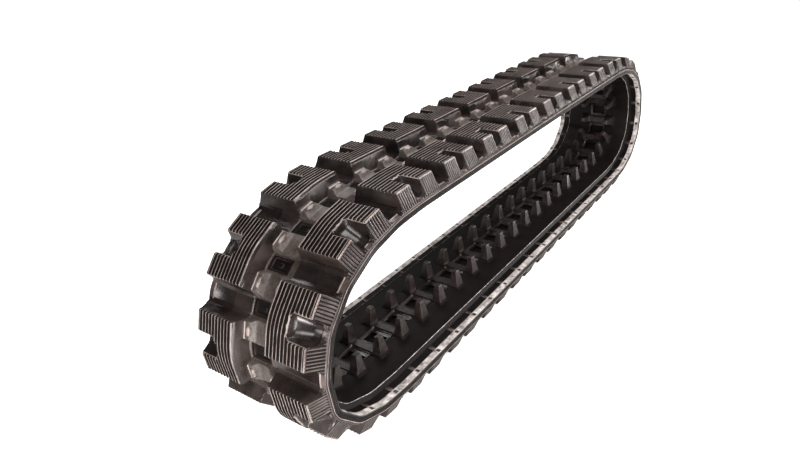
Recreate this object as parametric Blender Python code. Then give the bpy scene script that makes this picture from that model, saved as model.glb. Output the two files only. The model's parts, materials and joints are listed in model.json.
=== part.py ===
# Rubber track for a compact loader: an endless belt, 320 mm wide, of 48 links at 86 mm pitch.
# A rubber carcass with moulded tread lugs, a steel cord belt inside it, and 48 forged cores.
# The loop stands on its ground run. +X is its long way, Y its width and Z is up, and the
# origin is on the ground under its middle. Lengths are metres, angles are degrees.
# Flat space is the belt laid out straight: u along it, v across it, w outward from the cords.
import math

import bmesh
import bpy
from mathutils import Vector

# Loop
PITCH = 0.086
LINKS = 48
RIGID_LENGTH = 0.050
APEX_BEND = 23.0
UPPER_SPREAD = 6.6
LOWER_SPREAD = 5.1
SHOULDER_ZONE = 4

# Squeeze of the shoulder hinges, where positive flattens the loop
SQUEEZE_MIN = -2.5
SQUEEZE_MAX = 3.0
CUT_GAP = 0.0003
CUT_SPARE = 1.0
OPEN_GAP = 0.0016

# Belt section
BELT_WIDTH = 0.320
COVER_OUT = 0.010
COVER_IN = 0.007
PATH_IN = 0.017
MIDDLE_IN = 0.013
EDGE_CHAMFER = 0.002
MARGIN = 0.034
PATH_SLOPE = 0.008
MIDDLE_WIDTH = 0.056
MIDDLE_SLOPE = 0.004

# Tread lugs
LUG_HEIGHT = 0.040
LUG_LEG = 0.036
LUG_DRAFT = 0.007
CENTRE_STRIP = 0.072
SPINE_DRAFT = 0.0065
SPINE_WIDTH = 0.046
SHOULDER_RUN = 0.020
SHOULDER_EDGE = 0.003
SCOOP_TOP = 0.036
SCOOP_FLOOR = 0.030
SCOOP_START = 0.008
SCOOP_RUN = 0.054

# Centre strip
PAD_LENGTH = 0.048
PAD_HEIGHT = 0.005
RAMP_RUN = 0.020
RAMP_RISE = 0.019
POCKET_LENGTH = 0.029
POCKET_WIDTH = 0.054
POCKET_DEPTH = 0.006
POCKET_SHIFT = 0.006

# Cord belt
PLY_THICKNESS = 0.0012
CORD_BAND = 0.090
CORD_BAND_THICKNESS = 0.003
CORD_BAND_GAP = 0.072

# Forged core
CORE_SPAN = 0.236
WING_ROOT = 0.037
WING_TIP = 0.024
WING_ROOT_SPAN = 0.130
WING_SUNK = 0.0045
WING_THICKNESS = 0.0085
BAR_LENGTH = 0.026
BAR_PROUD = 0.007
BAR_DRAFT = 0.003
HORN_HEIGHT = 0.047
HORN_LENGTH = 0.035
HORN_WIDTH = 0.028
HORN_TIP_LENGTH = 0.016
HORN_TIP_WIDTH = 0.013
HORN_SPREAD = 0.096
HORN_LEAN = 0.003

# Drive recess between the bars of two cores
RECESS_WIDTH = 0.048
RECESS_LENGTH = 0.035
RECESS_DEPTH = 0.008

# Clearance between bonded pieces, and how far a joined form is sunk before it is united
FIT = 0.0003
SINK = 0.002

# Reach of the cutters past what they cut, and of a segment past its ends before they
# are cut
REACH = 0.100
OVERRUN = 0.012

# Distance that counts as none
TOUCH = 0.000001

FLEX_LENGTH = PITCH - RIGID_LENGTH
HALF_WIDTH = BELT_WIDTH / 2
LUG_TOP = COVER_OUT + LUG_HEIGHT
CORE_MIDDLE = -WING_SUNK - WING_THICKNESS / 2
HALF_LOOP = LINKS // 2
SHARP = math.radians(25)

# Body name, and the flex zones that it runs between
SEGMENTS = (
    ("ground_run", HALF_LOOP + SHOULDER_ZONE, LINKS - SHOULDER_ZONE),
    ("front_lower", LINKS - SHOULDER_ZONE, LINKS),
    ("front_upper", 0, SHOULDER_ZONE),
    ("top_run", SHOULDER_ZONE, HALF_LOOP - SHOULDER_ZONE),
    ("rear_upper", HALF_LOOP - SHOULDER_ZONE, HALF_LOOP),
    ("rear_lower", HALF_LOOP, HALF_LOOP + SHOULDER_ZONE),
)


def side_bend(step, spread, total):
    """Bend of the flex zone that lies so many links from the apex zone, on a side of an
    end that turns by total. The belt bends less and less towards its runs."""
    shares = [
        math.cos(math.pi * n / (2 * spread)) ** 2 for n in range(1, math.floor(spread))
    ]
    return total * shares[step - 1] / sum(shares) if step <= len(shares) else 0.0


def side_total(lean):
    """Turn of one side of an end, from the apex zone to its run, if the apex zone leans
    towards that run."""
    return 90.0 - APEX_BEND / 2 - lean


def side_reach(spread, lean):
    """Length along X from the apex to the middle of a run, over half of its links."""
    heading = 90.0 - lean
    bends = [APEX_BEND]
    bends += [side_bend(n, spread, side_total(lean)) for n in range(1, HALF_LOOP // 2 + 1)]
    reach = math.cos(math.radians(heading)) * FLEX_LENGTH / 2
    for before, after in zip(bends, bends[1:]):
        heading -= before / 2
        reach += math.cos(math.radians(heading)) * RIGID_LENGTH
        heading -= after / 2
        reach += math.cos(math.radians(heading)) * FLEX_LENGTH
    return reach - math.cos(math.radians(heading)) * FLEX_LENGTH / 2


def balanced_lean():
    """Lean of the front apex zone, top inwards, at which the top run and the ground run
    come out equally long."""
    low, high = -APEX_BEND, APEX_BEND
    while high - low > TOUCH:
        lean = (low + high) / 2
        if side_reach(UPPER_SPREAD, lean) < side_reach(LOWER_SPREAD, -lean):
            low = lean
        else:
            high = lean
    return (low + high) / 2


LEAN = balanced_lean()


def zone_bend(zone):
    """Bend of the flex zone that follows core number zone. Zone 0 is the front apex."""
    step = min(zone % HALF_LOOP, -zone % HALF_LOOP)
    if step == 0:
        return APEX_BEND
    if zone % LINKS < HALF_LOOP:
        return side_bend(step, UPPER_SPREAD, side_total(LEAN))
    return side_bend(step, LOWER_SPREAD, side_total(-LEAN))


def unit(heading):
    """Unit vectors along the belt and outward from it, for a heading in the X-Z plane."""
    angle = math.radians(heading)
    along = Vector((math.cos(angle), 0, math.sin(angle)))
    return along, Vector((-along.z, 0, along.x))


def lay_cores():
    """Middle and heading of every core, from the front apex up and round. A flex zone
    runs straight between two cores, at the mean of their headings. The points stand on
    the ground and centre on the origin."""
    cores = []
    heading = 90.0 - LEAN
    point = unit(heading)[0] * FLEX_LENGTH / 2
    for number in range(1, LINKS + 1):
        heading -= zone_bend(number - 1) / 2
        point = point + unit(heading)[0] * RIGID_LENGTH / 2
        cores.append((point, heading))
        point = point + unit(heading)[0] * RIGID_LENGTH / 2
        heading -= zone_bend(number) / 2
        point = point + unit(heading)[0] * FLEX_LENGTH
    middle = (min(p.x for p, _ in cores) + max(p.x for p, _ in cores)) / 2
    lowest = min(p.z for p, _ in cores)
    shift = Vector((-middle, 0, LUG_TOP - lowest))
    return [(point + shift, heading) for point, heading in cores]


CORES = lay_cores()


def on_core(number, u, v, w):
    """Place in the loop of a point that keeps its distance from a core."""
    middle, heading = CORES[(number - 1) % LINKS]
    along, outward = unit(heading)
    place = middle + along * (u - number * PITCH) + outward * w
    place.y = v
    return place


def on_loop(u, v, w):
    """Place in the loop of a point of flat space. The belt is stiff over a core, and a
    flex zone spans from the end of one core's stretch to the start of the next."""
    number = math.floor(u / PITCH + 0.5)
    if abs(u - number * PITCH) <= RIGID_LENGTH / 2:
        return on_core(number, u, v, w)
    number = math.floor(u / PITCH)
    end = number * PITCH + RIGID_LENGTH / 2
    start = (number + 1) * PITCH - RIGID_LENGTH / 2
    share = (u - end) / FLEX_LENGTH
    return on_core(number, end, v, w).lerp(on_core(number + 1, start, v, w), share)


def zone_middle(zone):
    """Flat place of the middle of a flex zone."""
    return (zone + 0.5) * PITCH


def pivot(zone):
    """Hinge point in the middle of a flex zone, on the cord line."""
    return on_loop(zone_middle(zone), 0, 0)


def finish_mesh(bm, name):
    """Mesh of a bmesh, which is used up."""
    mesh = bpy.data.meshes.new(name)
    bm.to_mesh(mesh)
    bm.free()
    return mesh


def extruded(points, reach):
    """Closed bmesh of an outline, given as points in space, extruded along a vector."""
    bm = bmesh.new()
    face = bm.faces.new([bm.verts.new(point) for point in points])
    side = bmesh.ops.extrude_face_region(bm, geom=[face])["geom"]
    moved = [item for item in side if isinstance(item, bmesh.types.BMVert)]
    bmesh.ops.translate(bm, verts=moved, vec=reach)
    bmesh.ops.recalc_face_normals(bm, faces=bm.faces)
    return bm


def along_belt(outline, start, end):
    """Closed bmesh of a (v, w) section run along the belt from start to end."""
    return extruded([(start, v, w) for v, w in outline], (end - start, 0, 0))


def tapered(low, high):
    """Closed bmesh of a tapered block. Each end is its height w, half length, and its
    nearer and farther edge across the belt."""
    bm = bmesh.new()
    bmesh.ops.create_cube(bm, size=2)
    for vert in bm.verts:
        w, half, near, far = high if vert.co.z > 0 else low
        vert.co = (half * vert.co.x, far if vert.co.y > 0 else near, w)
    return bm


def moved_copy(mesh, u=0.0, mirrored=False):
    """Bmesh of a mesh moved along the belt, and mirrored across it if asked."""
    bm = bmesh.new()
    bm.from_mesh(mesh)
    if mirrored:
        bmesh.ops.scale(bm, vec=(1, -1, 1), verts=bm.verts)
        bmesh.ops.reverse_faces(bm, faces=bm.faces)
    bmesh.ops.translate(bm, verts=bm.verts, vec=(u, 0, 0))
    return bm


def gathered(pieces):
    """One bmesh of many that lie clear of each other."""
    whole = bmesh.new()
    for piece in pieces:
        mesh = finish_mesh(piece, "piece")
        whole.from_mesh(mesh)
        bpy.data.meshes.remove(mesh)
    return whole


def combine(mesh, tool, operation):
    """Mesh joined to, or cut by, the closed forms of a bmesh."""
    body = bpy.data.objects.new("body", mesh)
    cutter = bpy.data.objects.new("cutter", finish_mesh(tool, "cutter"))
    for thing in (body, cutter):
        workshop.objects.link(thing)
    change = body.modifiers.new("change", "BOOLEAN")
    change.operation = operation
    change.solver = "EXACT"
    change.object = cutter
    graph = bpy.context.evaluated_depsgraph_get()
    result = bpy.data.meshes.new_from_object(body.evaluated_get(graph))
    for thing in (body, cutter):
        used = thing.data
        bpy.data.objects.remove(thing)
        bpy.data.meshes.remove(used)
    return result


def carcass_section():
    """Section of the belt rubber without lugs, as (v, w) points."""
    edge = HALF_WIDTH - MARGIN
    half = [
        (HALF_WIDTH - EDGE_CHAMFER, COVER_OUT),
        (HALF_WIDTH, COVER_OUT - EDGE_CHAMFER),
        (HALF_WIDTH, -COVER_IN),
        (edge, -COVER_IN),
        (edge - PATH_SLOPE, -PATH_IN),
        (MIDDLE_WIDTH / 2 + MIDDLE_SLOPE, -PATH_IN),
        (MIDDLE_WIDTH / 2, -MIDDLE_IN),
    ]
    return half + [(-v, w) for v, w in reversed(half)]


def cord_section(grow=0.0):
    """Section of the cord belt: a band of cords each side, joined by the bias ply. Grown
    by a clearance it is the tunnel that the belt lies in."""
    ply = PLY_THICKNESS / 2 + grow
    band = CORD_BAND_THICKNESS / 2 + grow
    inner = CORD_BAND_GAP / 2 - grow
    outer = CORD_BAND_GAP / 2 + CORD_BAND + grow
    top = [(outer, band), (inner, band), (inner, ply)]
    top += [(-v, w) for v, w in reversed(top)]
    return top + [(v, -w) for v, w in reversed(top)]


def lug_mesh():
    """C lug of the +Y row, centred on a flex zone, with its legs over two cores. Its
    spine faces the centre strip and its ribbed shoulders run down to the belt edge."""
    top_half = (PITCH + LUG_LEG) / 2
    inner = CENTRE_STRIP / 2
    block = tapered(
        (COVER_OUT - SINK, top_half + LUG_DRAFT, inner, HALF_WIDTH - SHOULDER_EDGE),
        (LUG_TOP, top_half, inner + SPINE_DRAFT, HALF_WIDTH - SHOULDER_RUN),
    )
    start = inner + SPINE_DRAFT + SPINE_WIDTH
    foot = start + SCOOP_RUN
    low = COVER_OUT - 2 * SINK
    above = LUG_TOP + REACH
    outline = [
        (start, above),
        (start, LUG_TOP - SCOOP_START),
        (foot, COVER_OUT),
        (foot, low),
        (HALF_WIDTH + REACH, low),
        (HALF_WIDTH + REACH, above),
    ]
    scoop = along_belt(outline, -1, 1)
    for vert in scoop.verts:
        rise = (vert.co.z - COVER_OUT) / LUG_HEIGHT
        vert.co.x *= (SCOOP_FLOOR + (SCOOP_TOP - SCOOP_FLOOR) * rise) / 2
    return combine(finish_mesh(block, "lug"), scoop, "DIFFERENCE")


def pad_mesh():
    """Raised pad over a core. It ramps up to the spines at both ends, and buttresses
    whichever lug stands there."""
    root = CENTRE_STRIP / 2 + SINK
    start = CENTRE_STRIP / 2 - RAMP_RUN
    top = COVER_OUT + PAD_HEIGHT
    half = [(root, COVER_OUT - SINK), (root, top + RAMP_RISE), (start, top)]
    outline = half + [(-v, w) for v, w in reversed(half)]
    return finish_mesh(along_belt(outline, -PAD_LENGTH / 2, PAD_LENGTH / 2), "pad")


def pocket(zone):
    """Cutter of the pocket in the centre strip over a flex zone."""
    ends = (POCKET_LENGTH / 2, POCKET_SHIFT - POCKET_WIDTH / 2, POCKET_SHIFT + POCKET_WIDTH / 2)
    bm = tapered((COVER_OUT - POCKET_DEPTH, *ends), (COVER_OUT + SINK, *ends))
    bmesh.ops.translate(bm, verts=bm.verts, vec=(zone_middle(zone), 0, 0))
    return bm


def recess(zone):
    """Cutter of the drive recess, where a sprocket tooth goes between two core bars."""
    ends = (RECESS_LENGTH / 2, -RECESS_WIDTH / 2, RECESS_WIDTH / 2)
    bm = tapered((-PATH_IN, *ends), (RECESS_DEPTH - MIDDLE_IN, *ends))
    bmesh.ops.translate(bm, verts=bm.verts, vec=(zone_middle(zone), 0, 0))
    return bm


def wing_block(grow=0.0):
    """Tapered wings of a core, or, grown by a clearance, the slot they lie in."""
    root = WING_ROOT / 2 + grow
    tip = WING_TIP / 2 + grow
    span = CORE_SPAN / 2 + grow
    bend = WING_ROOT_SPAN / 2
    plan = [(tip, span), (root, bend), (root, -bend), (tip, -span)]
    plan += [(-u, v) for u, v in reversed(plan)]
    top = grow - WING_SUNK
    return extruded([(u, v, top) for u, v in plan], (0, 0, -WING_THICKNESS - 2 * grow))


def core_mesh():
    """Forged core: two tapered wings, a drive bar and two guide horns."""
    reach = HORN_SPREAD / 2
    bar_half = BAR_LENGTH / 2
    bar = tapered(
        (-MIDDLE_IN - BAR_PROUD, bar_half - BAR_DRAFT, -reach, reach),
        (CORE_MIDDLE, bar_half, -reach, reach),
    )
    mesh = combine(finish_mesh(wing_block(), "core"), bar, "UNION")
    for side in (-1, 1):
        base = side * HORN_SPREAD / 2
        tip = side * (HORN_SPREAD / 2 - HORN_LEAN)
        wide = HORN_WIDTH / 2
        tip_wide = HORN_TIP_WIDTH / 2
        horn = tapered(
            (-PATH_IN - HORN_HEIGHT, HORN_TIP_LENGTH / 2, tip - tip_wide, tip + tip_wide),
            (CORE_MIDDLE, HORN_LENGTH / 2, base - wide, base + wide),
        )
        mesh = combine(mesh, horn, "UNION")
    mesh.name = "core"
    return mesh


def seat_mesh():
    """Cutter of the seat that the rubber leaves for a core: a slot round its wings, and
    a window in the roller path that its horns and drive bar stand in."""
    half = HORN_LENGTH / 2 + FIT
    reach = (HORN_SPREAD + HORN_WIDTH) / 2 + FIT
    window = tapered(
        (-PATH_IN - SINK, half, -reach, reach), (CORE_MIDDLE, half, -reach, reach)
    )
    return combine(finish_mesh(wing_block(FIT), "seat"), window, "UNION")


def squeeze_wedges(zone):
    """Half angles of the outer and the inner wedge of the cut at a hinge zone, wide
    enough for the whole squeeze range."""
    flatten, open_up = SQUEEZE_MAX, -SQUEEZE_MIN
    if zone % HALF_LOOP == 0:
        outer, inner = 2 * open_up, 2 * flatten
    else:
        outer, inner = flatten, open_up
    shrink = 1 - math.radians(zone_bend(zone)) * PATH_IN / FLEX_LENGTH
    return (outer + CUT_SPARE) / 2, (inner + CUT_SPARE) / 2 / shrink


def end_cutter(zone, side):
    """Cutter that ends a segment at a hinge zone. It keeps a neck of rubber and cord at
    the hinge line, and opens outward and inward from there. Side is -1 for the start of
    a segment and 1 for its end."""
    outer, inner = squeeze_wedges(zone)
    hinge = zone_middle(zone)
    gap = OPEN_GAP if zone == HALF_LOOP + SHOULDER_ZONE else CUT_GAP
    neck = hinge - side * gap / 2
    outline = [
        (neck, 0),
        (neck - side * REACH * math.tan(math.radians(outer)), REACH),
        (hinge + side * 2 * REACH, REACH),
        (hinge + side * 2 * REACH, -REACH),
        (neck - side * REACH * math.tan(math.radians(inner)), -REACH),
    ]
    points = [(u, -BELT_WIDTH, w) for u, w in outline]
    return extruded(points, (0, 2 * BELT_WIDTH, 0))


def bent_round(mesh, first, last, name):
    """Mesh of flat space, split where the belt starts and ends a bend, bent round the
    loop."""
    bm = bmesh.new()
    bm.from_mesh(mesh)
    bpy.data.meshes.remove(mesh)
    knots = []
    for number in range(first + 1, last + 1):
        for zone, side in ((number - 1, -1), (number, 1)):
            if zone_bend(zone) > 0:
                knots.append(number * PITCH + side * RIGID_LENGTH / 2)
    for u in knots:
        everything = bm.verts[:] + bm.edges[:] + bm.faces[:]
        bmesh.ops.bisect_plane(
            bm, geom=everything, dist=TOUCH, plane_co=(u, 0, 0), plane_no=(1, 0, 0)
        )
    bmesh.ops.triangulate(bm, faces=bm.faces)
    for vert in bm.verts:
        vert.co = on_loop(*vert.co)
    return finish_mesh(bm, name)


def carcass_mesh(name, first, last):
    """Rubber of one segment: belt, lugs and pads, cut for cords, cores and sprocket."""
    start = zone_middle(first) - OVERRUN
    end = zone_middle(last) + OVERRUN
    mesh = finish_mesh(along_belt(carcass_section(), start, end), name)
    lug = lug_mesh()
    pad = pad_mesh()
    zones = range(first, last + 1)
    cores = range(first + 1, last + 1)
    lugs = [moved_copy(lug, zone_middle(zone), zone % 2 == 1) for zone in zones]
    mesh = combine(mesh, gathered(lugs), "UNION")
    pads = [moved_copy(pad, core * PITCH) for core in cores]
    mesh = combine(mesh, gathered(pads), "UNION")
    seat = seat_mesh()
    seats = [moved_copy(seat, core * PITCH) for core in cores]
    tunnel = along_belt(cord_section(FIT), start - OVERRUN, end + OVERRUN)
    hollows = [pocket(zone) for zone in zones] + [recess(zone) for zone in zones]
    mesh = combine(mesh, gathered(hollows + seats + [tunnel]), "DIFFERENCE")
    for zone, side in ((first, -1), (last, 1)):
        mesh = combine(mesh, end_cutter(zone, side), "DIFFERENCE")
    for used in (lug, pad, seat):
        bpy.data.meshes.remove(used)
    return bent_round(mesh, first, last, name)


def cord_mesh(name, first, last):
    """Cord belt of one segment."""
    start = zone_middle(first) - OVERRUN
    end = zone_middle(last) + OVERRUN
    mesh = finish_mesh(along_belt(cord_section(), start, end), name)
    for zone, side in ((first, -1), (last, 1)):
        mesh = combine(mesh, end_cutter(zone, side), "DIFFERENCE")
    return bent_round(mesh, first, last, name)


def material(name, color, roughness, metallic):
    """Principled material of one flat colour."""
    made = bpy.data.materials.new(name)
    made.use_nodes = True
    shader = made.node_tree.nodes["Principled BSDF"]
    shader.inputs["Base Color"].default_value = (*color, 1)
    shader.inputs["Roughness"].default_value = roughness
    shader.inputs["Metallic"].default_value = metallic
    return made


def place_piece(name, mesh, finish, carrier, location, heading=None):
    """Object for a piece, hung on its carrier. A mesh made in place is moved to its
    location, and one made in flat space is turned to its heading."""
    if heading is None:
        for vert in mesh.vertices:
            vert.co -= location
    if not mesh.materials:
        mesh.materials.append(finish)
    mesh.shade_smooth()
    mesh.set_sharp_from_angle(angle=SHARP)
    piece = bpy.data.objects.new(name, mesh)
    track.objects.link(piece)
    piece.location = location
    if carrier:
        piece.parent = carrier
        piece.location = location - carrier_places[carrier.name]
    if heading is not None:
        piece.rotation_euler = (0, -math.radians(heading), 0)
    return piece


def add_carrier(name, parent, place):
    """Empty on a hinge line, which carries the pieces beyond that hinge."""
    empty = bpy.data.objects.new(name, None)
    empty.empty_display_size = PITCH
    track.objects.link(empty)
    carrier_places[name] = place
    empty.parent = parent
    empty.location = place - carrier_places[parent.name] if parent else place
    return empty


for old in list(bpy.data.objects):
    bpy.data.objects.remove(old)
track = bpy.data.collections.new("rubber_track")
workshop = bpy.data.collections.new("cutters")
for collection in (track, workshop):
    bpy.context.scene.collection.children.link(collection)

rubber = material("rubber", (0.022, 0.018, 0.016), 0.42, 0.0)
steel = material("forged_steel", (0.16, 0.145, 0.135), 0.45, 1.0)
brass_cord = material("brassed_cord", (0.42, 0.36, 0.25), 0.5, 0.6)

# Bodies: the ground run carries the front end, that the top run, and that the rear end
carrier_places = {}
carriers = {"ground_run": None}
parent = None
for body, zone in (
    ("front_lower", LINKS - SHOULDER_ZONE),
    ("front_upper", LINKS),
    ("top_run", SHOULDER_ZONE),
    ("rear_upper", HALF_LOOP - SHOULDER_ZONE),
    ("rear_lower", HALF_LOOP),
):
    parent = add_carrier(body + "_hinge", parent, pivot(zone))
    carriers[body] = parent

core = core_mesh()
for body, first, last in SEGMENTS:
    carrier = carriers[body]
    home = carrier_places[carrier.name] if carrier else Vector((0, 0, 0))
    name = body + "_carcass"
    place_piece(name, carcass_mesh(name, first, last), rubber, carrier, home)
    name = body + "_cord_belt"
    place_piece(name, cord_mesh(name, first, last), brass_cord, carrier, home)
    for number in range(first + 1, last + 1):
        name = f"core_{number:02d}"
        middle, heading = CORES[number - 1]
        place_piece(name, core, steel, carrier, middle, heading)
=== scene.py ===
import json
import math

import bmesh
import bpy
import numpy as np
from mathutils import Matrix, Vector

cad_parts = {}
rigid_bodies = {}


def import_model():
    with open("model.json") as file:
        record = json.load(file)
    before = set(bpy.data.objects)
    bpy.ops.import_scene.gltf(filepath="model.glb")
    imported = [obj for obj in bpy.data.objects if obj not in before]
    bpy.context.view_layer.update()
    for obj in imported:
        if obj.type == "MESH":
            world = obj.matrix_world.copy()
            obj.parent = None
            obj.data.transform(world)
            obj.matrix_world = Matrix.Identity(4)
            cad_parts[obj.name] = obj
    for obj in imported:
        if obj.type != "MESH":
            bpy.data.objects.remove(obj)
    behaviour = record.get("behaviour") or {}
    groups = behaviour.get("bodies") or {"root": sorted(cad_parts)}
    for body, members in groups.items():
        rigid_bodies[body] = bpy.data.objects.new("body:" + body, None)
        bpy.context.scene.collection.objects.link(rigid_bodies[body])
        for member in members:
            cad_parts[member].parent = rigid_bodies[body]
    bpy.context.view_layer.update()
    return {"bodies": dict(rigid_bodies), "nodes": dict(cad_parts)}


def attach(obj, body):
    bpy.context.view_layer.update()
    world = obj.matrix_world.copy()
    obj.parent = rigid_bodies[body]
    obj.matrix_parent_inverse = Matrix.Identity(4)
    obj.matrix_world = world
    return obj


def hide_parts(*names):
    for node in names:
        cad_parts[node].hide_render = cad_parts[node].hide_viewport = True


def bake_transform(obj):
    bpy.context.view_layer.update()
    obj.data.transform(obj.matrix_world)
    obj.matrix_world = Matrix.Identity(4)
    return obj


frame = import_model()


# Rubber belt
# One endless belt of natural and synthetic rubber, pressed hot in a mould round steel cords and
# 48 cores. It lies straight over a core, and bends in the rubber between two. The tread has two
# rows of C lugs that are staggered by one link, with pads and pockets along the centre strip.

# One pitch is modelled flat, from core to core, and laid round the loop. Flat space is in
# millimetres: u along the belt, v across it, and w outward from the line of the cords. The
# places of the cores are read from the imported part, and core 48 lies at u = 0.
METRE = 1000.0
LINKS = 48
PITCH = 86.0
RIGID_STRETCH = 50.0
FLEX_STRETCH = PITCH - RIGID_STRETCH
HORN_TIP_CORNER = 51.5
SAME_CORNER = 0.2
WING_END = 117.8
WING_DEPTH = 8.75
LEAST_TURN = 1e-6


def core_lie(number):
    """Place on the cord line over a core, and the belt's heading there. The horn tips and the
    wing ends of the core give its upright."""
    mesh = frame["nodes"][f"core_{number:02d}"].data
    points = np.unique(np.round([METRE * vert.co for vert in mesh.vertices], 2), axis=0)
    across = np.abs(points[:, 1])
    tips = points[np.abs(across - HORN_TIP_CORNER) < SAME_CORNER].mean(axis=0)
    wings = points[across > WING_END].mean(axis=0)
    upright = (wings - tips) / np.linalg.norm(wings - tips)
    return wings + upright * WING_DEPTH, math.atan2(-upright[0], upright[2])


lies = [core_lie(number or LINKS) for number in range(LINKS)]
core_places = np.array([place[[0, 2]] for place, _ in lies])
core_headings = np.array([heading for _, heading in lies])


def along(heading):
    """Direction of the belt in the plane of the loop."""
    return np.stack([np.cos(heading), np.sin(heading)], axis=-1)


def outward(heading):
    """Direction out of the loop, square to the belt."""
    return np.stack([-np.sin(heading), np.cos(heading)], axis=-1)


def laid_round(points):
    """Places in metres in the loop of points of flat space. Between two cores the belt runs
    in an arc."""
    u, v, w = np.asarray(points, float).T
    zone = np.floor(u / PITCH).astype(int)
    reach = u - zone * PITCH
    first, second = zone % LINKS, (zone + 1) % LINKS
    start_heading = core_headings[first]
    turn = (core_headings[second] - start_heading + math.pi) % (2 * math.pi) - math.pi
    share = np.clip((reach - RIGID_STRETCH / 2) / FLEX_STRETCH, 0, 1)
    heading = start_heading + turn * share
    start = core_places[first] + along(start_heading) * RIGID_STRETCH / 2
    half_turn = np.maximum(np.abs(turn), LEAST_TURN) / 2
    chord = FLEX_STRETCH * np.sin(half_turn * share) / np.sin(half_turn)
    arc = start + along(start_heading + turn * share / 2) * chord[:, None]
    before = core_places[first] + along(start_heading) * reach[:, None]
    after = core_places[second] + along(core_headings[second]) * (reach - PITCH)[:, None]
    over_first = (reach <= RIGID_STRETCH / 2)[:, None]
    over_second = (reach >= PITCH - RIGID_STRETCH / 2)[:, None]
    line = np.where(over_first, before, np.where(over_second, after, arc))
    place = line + outward(heading) * w[:, None]
    return np.stack([place[:, 0], v, place[:, 1]], axis=-1) / METRE


# Each lug has a spine beside the centre strip and two legs over two cores, with ridges on its
# top, ribs down its shoulder, and a scoop between the legs.
BELT_EDGE = 160.0
BASE = 10.0
LEDGE = 10.6
LEDGE_EDGE = 158.7
EDGE_TOP = LEDGE - 1.4
LUG_TOP = 50.0
LUG_HALF = 61.0
LUG_FOOT = 67.6
SPINE_FOOT = 36.0
RIDGE_PITCH = 8.9
RIDGE_COUNT = 11
FIRST_RIDGE = 47.6
RIDGE_HEIGHT = 2.4
RIDGE_CREST_HALF = 0.8
RIDGE_FOOT_HALF = 1.5
LEG_MIDDLE = 39.65
SHOULDER_TOP = 140.0
SHOULDER_FOOT = 157.4
RIB_PITCH = 6.7
RIB_DEPTH = 3.6
RIB_CREST_HALF = 1.1
RIB_SLANT = 0.9
RIB_STRETCH = (SHOULDER_TOP + 0.9, SHOULDER_TOP + 2, SHOULDER_FOOT - 3, SHOULDER_FOOT)
FILLET_STEPS = 4
FILLET_SHARE = 0.48
LEAST_FILLET = 0.02


def eased(corners):
    """Profile through (place, height, radius) corners, each rounded by a fillet, as its
    places and its heights. A fillet takes less than half of each side."""
    points = [corners[0][:2]]
    for before, corner, after in zip(corners, corners[1:], corners[2:]):
        here = np.array(corner[:2])
        to_before = np.array(before[:2]) - here
        to_after = np.array(after[:2]) - here
        long_before, long_after = np.linalg.norm(to_before), np.linalg.norm(to_after)
        to_before, to_after = to_before / long_before, to_after / long_after
        half = math.acos(max(-1, min(1, to_before @ to_after))) / 2
        run = min(corner[2] / math.tan(half), FILLET_SHARE * min(long_before, long_after))
        if run < LEAST_FILLET:
            points.append(tuple(here))
            continue
        for step in range(FILLET_STEPS):
            t = step / (FILLET_STEPS - 1)
            arc = (1 - t) ** 2 * (here + to_before * run) + 2 * t * (1 - t) * here
            points.append(tuple(arc + t**2 * (here + to_after * run)))
    points.append(corners[-1][:2])
    return tuple(np.array(points).T)


def ridged_top():
    """Corners of the ridges that run along the top of a lug, from the first one's crest."""
    corners = []
    for number in range(RIDGE_COUNT):
        middle = FIRST_RIDGE + number * RIDGE_PITCH
        corners += [
            (middle - RIDGE_FOOT_HALF, LUG_TOP - RIDGE_HEIGHT, 0),
            (middle - RIDGE_CREST_HALF, LUG_TOP, 0),
            (middle + RIDGE_CREST_HALF, LUG_TOP, 0),
            (middle + RIDGE_FOOT_HALF, LUG_TOP - RIDGE_HEIGHT, 0),
        ]
    return corners[1:]


# Profiles of the tread: across the belt over a lug, along the belt off a lug's end, along and
# across through a scoop, across between two lugs, and across over a pad.
ledge_corners = [(LEDGE_EDGE, LEDGE, 0.8), (BELT_EDGE, EDGE_TOP, 0)]
end_bead = [(144.6, LEDGE + 1.2, 0.8), (146.4, LEDGE + 1.2, 0.8), (147.4, LEDGE, 0.5)]
lug_section = eased(
    [(0, BASE, 0), (SPINE_FOOT, BASE, 2.5), (41.2, 44.8, 1.2), (45.9, LUG_TOP, 1.0)]
    + ridged_top()
    + [
        (139.2, LUG_TOP - RIDGE_HEIGHT, 0),
        (139.8, LUG_TOP, 0),
        (SHOULDER_TOP + 0.6, LUG_TOP, 2.2),
        (SHOULDER_FOOT, LEDGE, 0.8),
    ]
    + ledge_corners
)
lug_end = eased(
    [
        (0, LUG_TOP, 0),
        (LUG_HALF, LUG_TOP, 3.2),
        (LUG_FOOT - 1.2, 16, 6),
        (74, BASE, 6),
        (PITCH, BASE, 0),
    ]
)
scoop_side = eased(
    [
        (0, BASE - 4, 0),
        (10.5, BASE - 3, 5),
        (14.0, 15, 7),
        (15.8, LUG_TOP - 3.4, 1),
        (18.4, LUG_TOP, 0),
        (24, 58, 0),
    ]
)
scoop_floor = eased(
    [
        (0, 90, 0),
        (84, 56, 0),
        (88.8, LUG_TOP - 0.6, 1),
        (92.4, LUG_TOP - 5.6, 2.5),
        (95.2, 31, 9),
        (106, 24, 24),
        (126, 12.6, 24),
        (142.4, 7.0, 5),
    ]
    + end_bead
    + [(BELT_EDGE, LEDGE, 0)]
)
gap_floor = eased([(0, BASE, 0), (118, BASE, 8), (142.4, 7.4, 3)] + end_bead + ledge_corners)
PAD_LOW = 15
pad_top = eased(
    [(0, PAD_LOW, 0), (12.5, PAD_LOW, 9), (24.5, 24.6, 7), (34, 25.2, 2), (37, 27, 0), (60, 27, 0)]
)


def hump(x, low, high, run):
    """One between two edges, zero outside, with slanted sides."""
    return np.clip(np.minimum(x - low, high - x) / run, 0, 1)


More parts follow.
